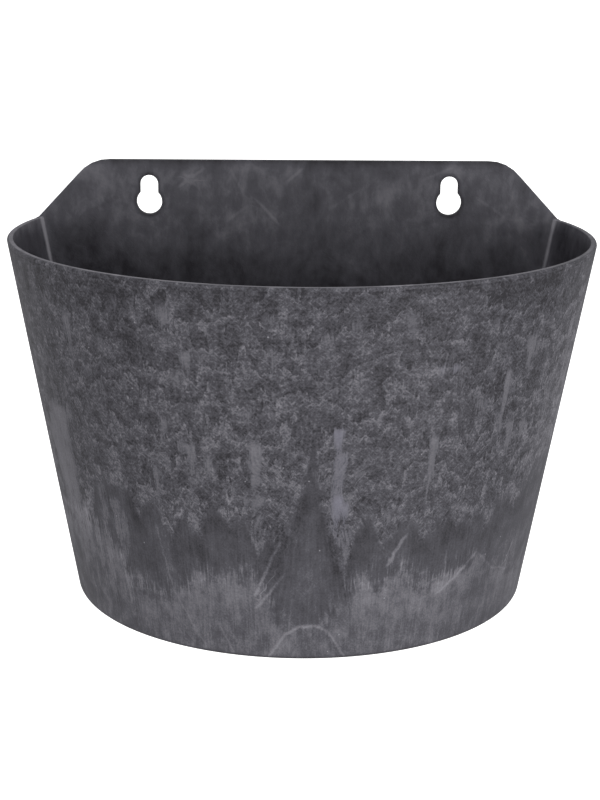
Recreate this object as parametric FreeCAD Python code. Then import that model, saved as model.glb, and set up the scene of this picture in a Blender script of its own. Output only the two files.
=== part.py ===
"""Wall-hung half-round planter with a lift-out drainage insert and a drain plug.

Millimetres. +X is to the right, the front faces -Y, +Z is up. The wall is the plane
y = 0, and the foot stands on z = 0, so the origin is the middle of the back at the foot.
"""

import FreeCAD
import Part

import math
import os

from FreeCAD import Vector

# Pot: a round taper, cut off flat where it meets the wall.
rim_radius = 155.25
foot_radius = 121.8
rim_height = 192.5
axis_to_wall = 51.6
side_wall = 3.4
back_wall = 3.4
floor_wall = 4.0
inner_corner_radius = 4.5
inner_floor_share = 0.8
foot_edge_radius = 3.0
rim_edge_radius = 1.2

# Witness line of the mould, round the outside just under the rim's rounding.
witness_land = 0.8
witness_width = 0.5
witness_depth = 0.3

# Foot: a ring round the underside, which lifts the floor off the table.
foot_ring_width = 8.0
foot_recess = 5.0
foot_recess_corner_radius = 4.0

# Back plate above the rim.
plate_rise = 32.5
plate_top_half_width = 115.4
plate_shoulder_radius = 22.0
plate_rim_ledge = 0.5

# Keyholes in the back plate: the screw head goes in at the round, the shank up the slot.
keyhole_spacing = 167.4
keyhole_head_drop = 23.2
keyhole_head_radius = 7.0
keyhole_slot_radius = 4.9
keyhole_slot_rise = 9.7

# Drain: a bore through the floor, with a collar round it inside the pot.
drain_bore_radius = 8.0
drain_collar_wall = 6.0
drain_collar_height = 4.0

# Drainage insert: a perforated false floor on legs.
insert_gap = 1.5
insert_deck_height = 30.0
insert_deck_wall = 2.4
insert_rim_height = 6.0
insert_rim_wall = 2.0
leg_width = 16.0
leg_rib = 2.4
leg_side_share = 0.66
leg_back_share = 0.2
leg_front_side_share = 0.4
finger_hole_radius = 11.0
finger_hole_spacing = 84.0
weep_hole_radius = 1.8
weep_hole_pitch = 17.0
weep_edge_margin = 9.0
weep_clearance = 3.0
weep_row_share = math.sqrt(3) / 2

# Drain plug, pushed in from below.
plug_stem_gap = 0.3
plug_flange_overlap = 4.0
plug_flange_wall = 2.0
plug_lead_in = 1.0
plug_nose = 1.5
grip_length = 17.0
grip_width = 4.0
grip_height = 2.0

# Seal ring in the plug's groove.
seal_section_radius = 1.1
seal_running_gap = 0.05
seal_side_gap = 0.1
seal_height_share = 0.5

# How far a cut runs past the faces that it opens.
overrun = 4.0

# Two places count as one within this distance.
shape_tolerance = 0.01

# For the printed volumes.
cubic_mm_per_cubic_cm = 1000

inner_floor_radius = inner_corner_radius * inner_floor_share
plate_height = rim_height + plate_rise
keyhole_head_height = plate_height - keyhole_head_drop
floor_top = foot_recess + floor_wall
drain_place_y = -(axis_to_wall + foot_radius) / 2
collar_radius = drain_bore_radius + drain_collar_wall
collar_top = floor_top + drain_collar_height
deck_top = floor_top + insert_deck_height
deck_underside = deck_top - insert_deck_wall


def outer_radius(height):
    """The taper's outer radius at a height."""
    return foot_radius + (rim_radius - foot_radius) * height / rim_height


def taper_block(low, high, side_inset, back_inset):
    """The pot's taper between two heights, drawn in at its side and cut off at the back."""
    depth = high - low
    radius_low = outer_radius(low) - side_inset
    radius_high = outer_radius(high) - side_inset
    taper = Part.makeCone(radius_low, radius_high, depth, Vector(0, -axis_to_wall, low))
    reach = max(radius_low, radius_high) + overrun
    front = Part.makeBox(
        2 * reach,
        reach + axis_to_wall - back_inset,
        depth,
        Vector(-reach, -reach - axis_to_wall, low),
    )
    return taper.common(front)


def half_width(height, side_inset, back_inset):
    """Half the width of a taper block along its back face."""
    radius = outer_radius(height) - side_inset
    return math.sqrt(radius**2 - (axis_to_wall - back_inset) ** 2)


def edges_at_height(shape, height):
    """The edges that lie in one level plane."""
    found = []
    for edge in shape.Edges:
        box = edge.BoundBox
        if abs(box.ZMin - height) < shape_tolerance and abs(box.ZMax - height) < shape_tolerance:
            found.append(edge)
    return found


def back_corner_edges(block, back_inset):
    """The two edges where a taper block's side meets its back face."""
    found = []
    for edge in block.Edges:
        ends = [vertex.Point for vertex in edge.Vertexes]
        at_back = all(abs(end.y + back_inset) < shape_tolerance for end in ends)
        if at_back and abs(ends[0].z - ends[-1].z) > shape_tolerance:
            found.append(edge)
    return found


def round_block(low, high, side_inset, back_inset, corner_radius):
    """A taper block whose two upright corners at the back are rounded."""
    block = taper_block(low, high, side_inset, back_inset)
    return block.makeFillet(corner_radius, back_corner_edges(block, back_inset))


def bar(width, depth, height, middle_x, middle_y, low):
    """A block centred on a point, from a height upwards."""
    return Part.makeBox(
        width,
        depth,
        height,
        Vector(middle_x - width / 2, middle_y - depth / 2, low),
    )


def outer_body():
    """The pot's outside as a full block: the round front and the slab against the wall."""
    front = taper_block(0, rim_height, 0, back_wall)
    for height, radius in ((rim_height, rim_edge_radius), (0, foot_edge_radius)):
        arc = [e for e in edges_at_height(front, height) if e.BoundBox.YLength > shape_tolerance]
        front = front.makeFillet(radius, arc)
    back_face = min(front.Faces, key=lambda face: abs(face.BoundBox.YMin + back_wall))
    # The sides are flat hyperbolas, which are carried as splines to stay well defined.
    outline = [edge if isinstance(edge.Curve, Part.Line) else edge.toNurbs().Edges[0]
               for edge in back_face.OuterWire.OrderedEdges]
    slab = Part.Face(Part.Wire(outline)).extrude(Vector(0, back_wall, 0))
    return front.fuse(slab)


def back_plate():
    """The plate that rises above the rim, with sloping ends and rounded shoulders."""
    foot_x = half_width(rim_height, 0, back_wall) - rim_edge_radius - plate_rim_ledge
    root_drop = back_wall
    slope_x = foot_x - plate_top_half_width
    slope_z = plate_height - rim_height
    slope = math.hypot(slope_x, slope_z)
    turn = math.acos(slope_x / slope)
    setback = plate_shoulder_radius * math.tan(turn / 2)
    top_x = plate_top_half_width - setback
    start_x = plate_top_half_width + setback * slope_x / slope
    start_z = plate_height - setback * slope_z / slope
    middle_x = top_x + plate_shoulder_radius * math.sin(turn / 2)
    middle_z = plate_height - plate_shoulder_radius * (1 - math.cos(turn / 2))

    def at(x, z):
        return Vector(x, 0, z)

    outline = [
        Part.makeLine(at(foot_x - root_drop, rim_height - root_drop), at(foot_x, rim_height)),
        Part.makeLine(at(foot_x, rim_height), at(start_x, start_z)),
        Part.Arc(at(start_x, start_z), at(middle_x, middle_z), at(top_x, plate_height)).toShape(),
        Part.makeLine(at(top_x, plate_height), at(-top_x, plate_height)),
        Part.Arc(at(-top_x, plate_height), at(-middle_x, middle_z), at(-start_x, start_z)).toShape(),
        Part.makeLine(at(-start_x, start_z), at(-foot_x, rim_height)),
        Part.makeLine(at(-foot_x, rim_height), at(-foot_x + root_drop, rim_height - root_drop)),
        Part.makeLine(
            at(-foot_x + root_drop, rim_height - root_drop),
            at(foot_x - root_drop, rim_height - root_drop),
        ),
    ]
    return Part.Face(Part.Wire(outline)).extrude(Vector(0, -back_wall, 0))


def pot_cavity():
    """The room inside the pot, with rounded corners where it meets back and floor."""
    top = rim_height + overrun
    cavity = round_block(floor_top, top, side_wall, back_wall, inner_corner_radius)
    return cavity.makeFillet(inner_floor_radius, edges_at_height(cavity, floor_top))


def foot_hollow():
    """The hollow under the floor, inside the foot ring."""
    ring = foot_ring_width
    return round_block(-overrun, foot_recess, ring, ring, foot_recess_corner_radius)


def witness_line():
    """The fine groove round the outside below the rim."""
    top = rim_height - rim_edge_radius - witness_land
    low = top - witness_width
    band = taper_block(low, top, -overrun, back_wall)
    return band.cut(taper_block(low, top, witness_depth, 0))


def keyhole(middle_x):
    """One keyhole: the round for the screw's head and the slot above it."""
    start = -back_wall - overrun
    length = back_wall + 2 * overrun
    slot_height = keyhole_head_height + keyhole_slot_rise
    head = Part.makeCylinder(
        keyhole_head_radius, length, Vector(middle_x, start, keyhole_head_height), Vector(0, 1, 0)
    )
    slot_end = Part.makeCylinder(
        keyhole_slot_radius, length, Vector(middle_x, start, slot_height), Vector(0, 1, 0)
    )
    slot = Part.makeBox(
        2 * keyhole_slot_radius,
        length,
        keyhole_slot_rise,
        Vector(middle_x - keyhole_slot_radius, start, keyhole_head_height),
    )
    return head.fuse([slot_end, slot]).removeSplitter()


def planter_shell():
    """The moulded shell: pot, foot ring, drain collar and back plate in one piece."""
    shell = outer_body().fuse(back_plate())
    shell = shell.cut(pot_cavity())
    shell = shell.cut(foot_hollow())
    shell = shell.cut(witness_line())
    collar = Part.makeCylinder(
        collar_radius, collar_top - foot_recess, Vector(0, drain_place_y, foot_recess)
    )
    shell = shell.fuse(collar)
    bore = Part.makeCylinder(
        drain_bore_radius, collar_top - foot_recess + 2 * overrun,
        Vector(0, drain_place_y, foot_recess - overrun),
    )
    shell = shell.cut(bore)
    for side in (-1, 1):
        shell = shell.cut(keyhole(side * keyhole_spacing / 2))
    return shell.removeSplitter()


def insert_block(low, high, inset):
    """The insert's outline between two heights, drawn in by an inset, with round corners."""
    side_inset = side_wall + insert_gap + inset
    back_inset = back_wall + insert_gap + inset
    return round_block(low, high, side_inset, back_inset, inner_corner_radius)


def leg_places():
    """Where the insert's four legs stand: two near the back, two on an arc at the front."""
    half = half_width(floor_top, side_wall + insert_gap, back_wall)
    depth = axis_to_wall + outer_radius(floor_top) - side_wall
    arc_radius = outer_radius(floor_top) - side_wall - inner_corner_radius - leg_width
    back_y = -depth * leg_back_share
    front_y = -axis_to_wall - arc_radius * math.sqrt(1 - leg_front_side_share**2)
    rows = ((half * leg_side_share, back_y), (arc_radius * leg_front_side_share, front_y))
    return [(side * x, y) for x, y in rows for side in (-1, 1)]


def insert_leg(middle_x, middle_y):
    """One cross-shaped leg from the pot's floor to the underside of the deck."""
    height = deck_underside - floor_top
    across = bar(leg_width, leg_rib, height, middle_x, middle_y, floor_top)
    along = bar(leg_rib, leg_width, height, middle_x, middle_y, floor_top)
    return across.fuse(along)


def weep_places():
    """A staggered field of weep holes that keeps clear of edges, legs and finger holes."""
    reach = outer_radius(deck_underside) - side_wall - insert_gap - insert_rim_wall - weep_edge_margin
    back = -(back_wall + insert_gap + insert_rim_wall + weep_edge_margin)
    row_pitch = weep_hole_pitch * weep_row_share
    rows = int((reach + axis_to_wall) / row_pitch) + 1
    columns = int(reach / weep_hole_pitch) + 1
    kept_free = [(x, y, leg_width / 2) for x, y in leg_places()]
    kept_free += [(side * finger_hole_spacing / 2, drain_place_y, finger_hole_radius)
                  for side in (-1, 1)]
    places = []
    for row in range(rows):
        y = back - row * row_pitch
        shift = weep_hole_pitch / 2 if row % 2 else 0
        for column in range(-columns, columns + 1):
            x = column * weep_hole_pitch + shift
            inside = math.hypot(x, y + axis_to_wall) < reach
            clear = all(math.hypot(x - fx, y - fy) > radius + weep_hole_radius + weep_clearance
                        for fx, fy, radius in kept_free)
            if inside and clear:
                places.append((x, y))
    return places


def drainage_insert():
    """The false floor: a perforated deck with a stiffening rim and four legs."""
    insert = insert_block(deck_underside, deck_top, 0)
    rim_low = deck_top - insert_rim_height
    rim = insert_block(rim_low, deck_underside, 0)
    rim = rim.cut(insert_block(rim_low, deck_underside, insert_rim_wall))
    insert = insert.fuse([rim] + [insert_leg(x, y) for x, y in leg_places()])
    through = insert_deck_wall + 2 * overrun
    low = deck_underside - overrun
    holes = [Part.makeCylinder(weep_hole_radius, through, Vector(x, y, low)) for x, y in weep_places()]
    holes += [Part.makeCylinder(finger_hole_radius, through,
                                Vector(side * finger_hole_spacing / 2, drain_place_y, low))
              for side in (-1, 1)]
    return insert.cut(holes).removeSplitter()


def seal_height():
    """The height of the middle of the seal ring."""
    return foot_recess + (collar_top - foot_recess) * seal_height_share


def groove_radius():
    """The radius of the bottom of the plug's groove."""
    return drain_bore_radius - 2 * seal_running_gap - 2 * seal_section_radius


def drain_plug():
    """The plug: a flange under the floor, a stem with a groove, and a grip below."""
    stem_radius = drain_bore_radius - plug_stem_gap
    stem_top = collar_top + plug_nose
    middle = Vector(0, drain_place_y, 0)
    stem = Part.makeCylinder(
        stem_radius, stem_top - plug_lead_in - foot_recess, middle + Vector(0, 0, foot_recess)
    )
    lead = Part.makeCone(
        stem_radius, stem_radius - plug_lead_in, plug_lead_in,
        middle + Vector(0, 0, stem_top - plug_lead_in),
    )
    flange_low = foot_recess - plug_flange_wall
    flange = Part.makeCylinder(
        drain_bore_radius + plug_flange_overlap, plug_flange_wall, middle + Vector(0, 0, flange_low)
    )
    grip = bar(grip_length, grip_width, grip_height, 0, drain_place_y, flange_low - grip_height)
    plug = stem.fuse([lead, flange, grip])
    groove_half = seal_section_radius + seal_side_gap
    groove_low = middle + Vector(0, 0, seal_height() - groove_half)
    groove = Part.makeCylinder(stem_radius + overrun, 2 * groove_half, groove_low)
    groove = groove.cut(Part.makeCylinder(groove_radius(), 2 * groove_half, groove_low))
    return plug.cut(groove).removeSplitter()


def plug_seal_ring():
    """The ring in the plug's groove, which runs in the drain bore."""
    ring_radius = groove_radius() + seal_running_gap + seal_section_radius
    return Part.makeTorus(
        ring_radius, seal_section_radius, Vector(0, drain_place_y, seal_height())
    )


pieces = {
    "planter_shell": planter_shell,
    "drainage_insert": drainage_insert,
    "drain_plug": drain_plug,
    "plug_seal_ring": plug_seal_ring,
}

os.makedirs("parts", exist_ok=True)
for name, make in pieces.items():
    shape = make()
    print(name, len(shape.Solids), shape.isValid(), round(shape.Volume / cubic_mm_per_cubic_cm, 2), "cm3")
    shape.exportStep(os.path.join("parts", name + ".step"))
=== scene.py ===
"""Looks of a wall-hung half-round planter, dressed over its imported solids.

The frame is in metres: +X is to the viewer's right, the round front faces -Y, +Z is up, the
wall is the plane y = 0 and the foot stands on z = 0. The classes hold their sizes in
millimetres, as the part's source does, and turn them to metres when a mesh is made.
"""
import logging
import math
from dataclasses import astuple, dataclass
from enum import Enum
from functools import reduce

import bmesh
import bpy
import numpy as np
from mathutils import Matrix, Vector


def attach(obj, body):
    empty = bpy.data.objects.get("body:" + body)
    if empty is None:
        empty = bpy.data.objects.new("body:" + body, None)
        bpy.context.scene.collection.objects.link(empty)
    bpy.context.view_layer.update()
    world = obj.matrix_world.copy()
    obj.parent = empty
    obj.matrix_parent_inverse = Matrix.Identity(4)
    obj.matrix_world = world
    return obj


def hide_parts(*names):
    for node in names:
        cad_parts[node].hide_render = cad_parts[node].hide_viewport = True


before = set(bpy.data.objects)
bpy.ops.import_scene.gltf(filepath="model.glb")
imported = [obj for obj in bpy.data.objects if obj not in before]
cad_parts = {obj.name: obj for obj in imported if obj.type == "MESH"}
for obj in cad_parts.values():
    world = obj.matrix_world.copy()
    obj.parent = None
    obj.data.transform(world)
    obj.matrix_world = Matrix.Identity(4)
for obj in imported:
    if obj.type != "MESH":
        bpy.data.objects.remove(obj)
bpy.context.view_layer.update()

LOG = logging.getLogger("planter")
MM = 0.001
MERGE_METRES = 2e-6

Array = np.ndarray
Socket = bpy.types.NodeSocket
Tree = bpy.types.NodeTree
Pair = tuple[float, float]
Triple = tuple[float, float, float]
Colour = tuple[float, float, float, float]
Patch = tuple[Array, Array]


class Node(Enum):
    """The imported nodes."""

    SHELL = "planter_shell"
    INSERT = "drainage_insert"
    PLUG = "drain_plug"
    RING = "plug_seal_ring"


class Body(Enum):
    """The bodies that pieces ride on."""

    VASE = "vase"


class Slot(Enum):
    """The record's material slot for the stone compound, which no piece here takes its finish from."""

    STONE = "stone_compound"


class Side(Enum):
    """Which keyhole, by the sign of its x."""

    RIGHT = 1
    LEFT = -1


def linear(code: str) -> Colour:
    """Turn an sRGB hex colour into the linear colour that the shader takes.

    Args:
        code: Six hex digits, such as "4a494e".

    Returns:
        The linear red, green and blue with an alpha of 1.
    """
    parts = [int(code[i:i + 2], 16) / 255 for i in (0, 2, 4)]
    turned = [c / 12.92 if c <= 0.04045 else ((c + 0.055) / 1.055) ** 2.4 for c in parts]
    return (turned[0], turned[1], turned[2], 1.0)


def smooth_step(low: float, high: float, value: Array) -> Array:
    """The cubic 3t^2 - 2t^3 of the clamped share t of the way from low to high."""
    share = np.clip((value - low) / (high - low), 0, 1)
    return share * share * (3 - 2 * share)


def grid_patch(points: Array, closed: bool = False) -> Patch:
    """Turn a grid of points into a patch of quads.

    Args:
        points: Rows by columns by 3.
        closed: Whether the last column is joined to the first.

    Returns:
        The points as a list, and the four corner numbers of each quad.
    """
    rows, columns = points.shape[:2]
    number = np.arange(rows * columns).reshape(rows, columns)
    if closed:
        number = np.hstack([number, number[:, :1]])
    quads = np.stack([number[:-1, :-1], number[:-1, 1:], number[1:, 1:], number[1:, :-1]], -1)
    return points.reshape(-1, 3), quads.reshape(-1, 4)


def quarter_turn(count: int) -> Array:
    """Evenly spaced angles from 0 to a right angle."""
    return np.linspace(0, math.pi / 2, count)


def level_directions(points: Array, middle: Array) -> Array:
    """The level unit vectors from a middle to points, in rows."""
    away = (points - middle) * [1, 1, 0]
    return away / np.linalg.norm(away, axis=1, keepdims=True)


def put_in_scene(name: str, data: bpy.types.ID) -> bpy.types.Object:
    """Make an object and put it in the scene.

    Args:
        name: The object's name.
        data: Its mesh, lamp or camera.

    Returns:
        The object.
    """
    made = bpy.data.objects.new(name, data)
    bpy.context.scene.collection.objects.link(made)
    return made


def mesh_from_patches(name: str, patches: list[Patch], crease_degrees: float) -> bpy.types.Object:
    """Join patches in millimetres into one closed mesh object in metres.

    Args:
        name: The object's name.
        patches: The patches, whose edges meet point to point.
        crease_degrees: Edges sharper than this stay crisp.

    Returns:
        The object, with its doubles merged and its faces pointing outwards.
    """
    starts = np.cumsum([0] + [len(points) for points, _ in patches[:-1]])
    points = np.concatenate([points for points, _ in patches]) * MM
    quads = np.concatenate([faces + start for (_, faces), start in zip(patches, starts)])
    mesh = bpy.data.meshes.new(name)
    mesh.from_pydata(points.tolist(), [], quads.tolist())
    work = bmesh.new()
    work.from_mesh(mesh)
    bmesh.ops.remove_doubles(work, verts=work.verts, dist=MERGE_METRES)
    bmesh.ops.recalc_face_normals(work, faces=work.faces)
    loose = sum(1 for edge in work.edges if len(edge.link_faces) != 2)
    work.to_mesh(mesh)
    work.free()
    mesh.shade_smooth()
    mesh.set_sharp_from_angle(angle=math.radians(crease_degrees))
    triangles = sum(len(face.vertices) - 2 for face in mesh.polygons)
    LOG.info("%s: %d triangles, %d open edges", name, triangles, loose)
    return put_in_scene(name, mesh)


def add(tree: Tree, kind: str, inputs: dict[str | int, object] | None = None,
        **settings: object) -> bpy.types.Node:
    """Add a node with its settings, and fill or link its inputs.

    Args:
        tree: The node tree.
        kind: The node's type, without its leading "ShaderNode".
        inputs: A value, a node or an output socket for each input, by name or number.
        **settings: The node's own options.

    Returns:
        The node.
    """
    made = tree.nodes.new("ShaderNode" + kind)
    for name, value in settings.items():
        setattr(made, name, value)
    for name, value in (inputs or {}).items():
        if isinstance(value, bpy.types.Node):
            value = value.outputs[0]
        if isinstance(value, Socket):
            tree.links.new(value, made.inputs[name])
        else:
            made.inputs[name].default_value = value
    return made


@dataclass(frozen=True)
class Drip:
    """A pale run of mineral bloom: a ragged top, and a tail that fades downwards."""

    middle: float
    top: float
    length: float
    width: float
    strength: float = 0.7
    lean: float = 0.0
    blue: float = 0.0


@dataclass(frozen=True)
class Vein:
    """A thin pale vein that runs straight from one place to another."""

    start_along: float
    start_height: float
    end_along: float
    end_height: float
    strength: float = 0.6


@dataclass(frozen=True)
class Blot:
    """A soft oval that is darker than its surroundings, or paler if its strength is negative."""

    along: float
    height: float
    width: float
    tall: float
    strength: float
    lean: float = 0.0


@dataclass(frozen=True)
class BloomAndPaintedLight:
    """Where the mineral bloom lies, with the painted shade and highlights, as values on the mesh.

    Places are in millimetres on the unrolled outside: the arc's length from the middle of the
    front, and the height above the foot. On the back wall and plate they are x and z. A pair
    named for a rise holds the values where it starts and ends.
    """

    shell: "PlanterShell"
    unroll_radius: float = 138.5
    skin_gap_rise: Pair = (1.6, 0.6)
    skin_depth_rise: Pair = (-0.3, -1.5)
    skin_foot_rise: Pair = (-0.5, 1.5)
    plate_vein_depth: float = -6.0
    fan_top: Pair = (2.0, 128.0)
    fan_spread: float = 60.0
    fan_least: float = 12.0
    fan_width_rise: Pair = (34.0, 18.0)
    fan_height_rise: Pair = (108.0, 88.0)
    # How steeply the frost sets in: softer at the ends of the arc and beside the middle's tent.
    frost_at_ends: tuple[Pair, ...] = ((105, 150), (1, 0.3))
    frost_at_tent: tuple[Pair, ...] = ((12, 26), (0.45, 1))
    frost_border: tuple[Pair, ...] = (
        (-220, 80), (-170, 64), (-135, 54), (-128, 66), (-122, 84), (-98, 84), (-95, 80), (-90, 68),
        (-86, 79), (-80, 80), (-72, 62), (-66, 73), (-62, 74), (-55.5, 65), (-50, 79), (-45, 80),
        (-38, 70), (-32, 77), (-25, 58), (-20, 68), (-14, 66), (-9, 72), (-4.5, 86), (-1, 100), (1.5, 126),
        (4, 100), (8, 82), (11, 70), (15, 58), (20, 52), (24, 72), (30, 80), (37, 62), (43, 66), (48, 76),
        (53, 74), (60, 62), (67, 72), (72, 70), (76, 73), (81, 66), (86, 73), (92, 67), (97, 72),
        (103, 62), (110, 74), (121, 74), (127, 65), (133, 77), (142, 86), (160, 92), (220, 94),
    )
    haze_border: tuple[Pair, ...] = (
        (-220, 46), (-132, 60), (-118, 55), (-104, 33), (-80, 26), (-70, 37), (-50, 43), (-30, 47),
        (-22, 44), (-16, 22), (0, 19), (14, 22), (19, 41), (30, 42), (36, 38), (48, 45), (60, 40),
        (72, 38), (86, 40), (99, 43), (116, 35), (134, 29), (160, 24), (220, 22),
    )
    haze_strength: tuple[Pair, ...] = (
        (-220, 0.8), (-110, 0.7), (-75, 0.7), (-65, 0.9), (-25, 0.9), (-12, 0.5), (14, 0.5), (22, 1),
        (70, 1), (96, 0.8), (103, 0.45), (140, 0.45), (220, 0.5),
    )
    drips: tuple[Drip, ...] = tuple(Drip(*row) for row in (
        (-149, 116, 130, 22, 0.8, 0.02), (-158, 109, 110, 18, 0.8, 0.05), (-165, 101, 60, 12, 0.7, 0.1),
        (-138, 64, 80, 9, 0.55), (-129, 60, 70, 9, 0.5), (-120, 48, 60, 9, 0.45), (-172, 60, 60, 20, 0.5),
        (-117, 82, 48, 9, 0.55), (-108, 76, 90, 9, 0.6, 0.04), (-102, 70, 40, 5, 0.6),
        (-122, 169, 34, 5, 0.7), (-64, 181, 16, 9, 0.6), (-55, 159, 14, 7, 0.8), (-70, 125, 18, 6, 0.65),
        (-56, 114, 26, 6, 0.7), (-25, 116, 44, 7, 0.85), (-24.5, 90, 44, 8, 0.45),
        (13, 124, 15, 6, 1, 0, 1), (15, 112, 62, 7.5, 0.7, -0.08, 0.5), (18.5, 72, 34, 8, 0.5, -0.06, 0.2),
        (14.3, 90, 26, 5.5, 1, -0.04, 1), (17.8, 86, 20, 4, 0.9, -0.05, 0.8), (60, 117, 40, 5, 0.85),
        (43, 178, 14, 6, 0.7), (59, 153, 8, 5, 0.7, 0, 0.5), (66, 152, 6, 6, 0.8, 0, 0.8),
        (99.5, 145, 44, 4.5, 1), (112.5, 160, 24, 8, 1), (118, 158, 14, 5, 0.7), (108, 117, 26, 7, 0.65),
        (118, 116, 18, 6, 0.5), (85, 132, 16, 6, 0.55), (39, 80, 18, 5, 0.5), (-77, 98, 34, 4, 0.5),
        (-135, 132, 30, 8, 0.4), (-103, 140, 20, 6, 0.45), (-48, 108, 20, 5, 0.5), (-88, 184, 18, 5, 0.5),
        (18, 178, 18, 5, 0.45), (-8, 174, 14, 10, 0.4), (140, 128, 40, 8, 0.4),
    ))
    # A run narrows by this share, sets in and ends sideways over these rises, and fades so fast.
    drip_taper: float = 0.6
    drip_top_rise: Pair = (-2.5, 3.0)
    drip_side_rise: Pair = (1.35, 0.5)
    drip_fade: float = 0.8
    stray_seed: int = 7
    stray_drips: int = 110
    # The limits of a stray run's middle, top, length, width and strength.
    stray_limits: tuple[Pair, ...] = ((-250, 250), (84, 182), (7, 20), (4, 9), (0.2, 0.5))
    veins: tuple[Vein, ...] = tuple(Vein(*row) for row in (
        (-14.5, 64, -27, 36, 0.7), (-12.3, 47, -27, 28, 0.5), (-5.5, 68, -7, 58, 0.3),
        (50, 65, 42, 51, 0.8), (99, 48, 88, 38.5, 0.55), (88, 38.5, 75, 30.5, 0.45),
        (99.7, 48, 116, 35, 0.35), (116, 35, 134, 29.5, 0.4), (136, 43, 131.5, 34, 0.5),
        (-80.3, 67, -78, 50, 0.4), (-78, 50, -73.7, 32, 0.4), (-73.7, 32, -61, 8, 0.3),
        (-20.5, 2, -12, 14, 0.5), (-12, 14, -4, 19, 0.6), (-4, 19, 7, 19, 0.65), (7, 19, 14, 13, 0.55),
        (14, 13, 21, 2, 0.5), (-47, 15, -41, 3, 0.35), (77, 52, 77.5, 41, 0.5), (-68, 22, -58, 5, 0.3),
    ))
    # The two tall pale blots near the arc's ends, at along 176 and -180, are painted sheen along the sides'
    # edges.
    front_blots: tuple[Blot, ...] = tuple(Blot(*row) for row in (
        (-92, 72, 14, 18, 0.5), (-45, 72, 20, 16, 0.45), (-58, 56, 20, 14, 0.4), (-18, 66, 11, 20, 0.6),
        (26, 64, 12, 22, 0.5), (55, 62, 12, 14, 0.3), (75, 60, 18, 14, 0.4), (90, 48, 14, 14, 0.2),
        (108, 50, 20, 14, 0.2), (-90, 50, 16, 24, 0.35), (2, 112, 4, 34, 0.4), (16, 58, 7, 20, 0.3),
        (-6, 88, 9, 14, 0.15), (9, 84, 6, 16, 0.3), (22, 38, 6, 30, 0.45), (-15, 30, 8, 16, 0.4),
        (-1, 44, 18, 26, -0.45), (-148, 124, 12, 9, 0.7), (-80, 158, 5, 28, 0.4), (2, 150, 4, 30, 0.3),
        (-130, 100, 8, 20, 0.4), (-135, 50, 12, 14, 0.1), (-95, 162, 26, 20, 0.25),
        (120, 180, 50, 14, 0.3), (-110, 184, 60, 12, 0.35), (30, 168, 24, 12, 0.2), (0, 178, 26, 12, -0.3),
        (-62, 172, 14, 10, -0.3), (70, 164, 24, 12, -0.2), (-40, 150, 14, 10, -0.2),
        (130, 110, 40, 50, -0.2), (176, 90, 60, 200, -0.9), (0, 6, 260, 22, -0.15),
        (130, 40, 50, 40, -0.5), (57, 150, 18, 3, -1.1), (78, 36, 10, 8, -0.4),
        (-13, 10, 8, 14, -0.6, 0.7), (1, 12, 9, 9, 0.25), (-81, 166, 16, 24, 0.4), (-61, 181, 9, 10, -0.4),
        (4, 18.5, 10, 3.5, -0.5), (17, 12, 5, 8, -0.3), (0, 28, 18, 6, 0.3), (106, 30, 16, 12, 0.5),
        (-12, 62, 9, 46, 0.5, 0.48), (12, 58, 7, 54, 0.5, -0.3), (165, 140, 50, 120, -0.5),
        (-160, 132, 14, 14, -0.4), (-157, 186, 14, 10, -0.3), (-180, 110, 30, 220, -0.5),
        (-138, 140, 8, 24, 0.35), (85, 158, 90, 50, 0.25), (-90, 140, 60, 60, 0.1),
    ))
    # The last two blots are painted shade deep in the inside at either end.
    plate_blots: tuple[Blot, ...] = tuple(Blot(*row) for row in (
        (-60, 216, 14, 10, -0.5), (-30, 212, 24, 26, -0.55), (-3, 217, 9, 9, -0.6),
        (-18, 196, 12, 12, -0.5), (-100, 208, 26, 22, -0.35), (-128, 196, 20, 14, -0.3),
        (92, 216, 26, 18, -0.5), (118, 196, 26, 22, -0.45), (40, 206, 30, 20, -0.3),
        (-70, 222, 16, 6, 0.5), (62, 218, 22, 10, 0.35), (-45, 196, 22, 16, 0.2), (14, 222, 16, 8, 0.35),
        (-100, 182, 30, 14, -0.2), (0, 182, 60, 12, 0.2), (-106, 202, 26, 18, -0.35),
        (114, 200, 22, 18, -0.25), (95, 160, 70, 50, 0.35), (-95, 160, 70, 50, 0.25),
    ))
    plate_veins: tuple[Vein, ...] = tuple(Vein(*row) for row in (
        (-66, 211, -55, 219, 0.5), (-64, 217, -58, 211, 0.5), (-24, 203, -12, 190, 0.55),
        (-6, 214, 1, 220, 0.5), (-38, 219, -32, 208, 0.3), (-30, 199, -42, 190, 0.3),
        (100, 204, 112, 196, 0.3), (70, 215, 84, 221, 0.25), (20, 200, 32, 208, 0.25),
    ))
    vein_end_rise: Pair = (3.0, 0.0)
    vein_side_rise: Pair = (7.0, 4.0)
    blot_fall: float = 0.8
    # Painted shade along the foot's down-facing edge.
    foot_edge_shade: float = 2.2
    foot_edge_shade_rise: Pair = (2.6, 0.5)
    # A paler band on the outside above the witness line.
    pale_top_band: float = -0.3
    pale_top_band_rise: Pair = (190.0, 190.8)
    # Painted shade: the inside gets darker downwards and in its narrow ends, more on the right; the last of
    # the plate under its top edge and the keyholes' edges are darker too.
    inner_dark: tuple[tuple[float, ...], ...] = ((140, 192, 222, 224.5), (1.8, -0.1, 0.1, 1.5))
    inner_end_depth_rise: Pair = (-6.0, -16.0)
    inner_end_side_rise: Pair = (100.0, 125.0)
    inner_end_dark: Pair = (0.9, 0.3)
    back_depth: float = -1.5
    underside_height: float = 8.5
    hidden_dark: float = 0.2
    hole_edge_dark: float = 1.4
    hole_edge_rise: Pair = (2.4, 0.8)
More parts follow.
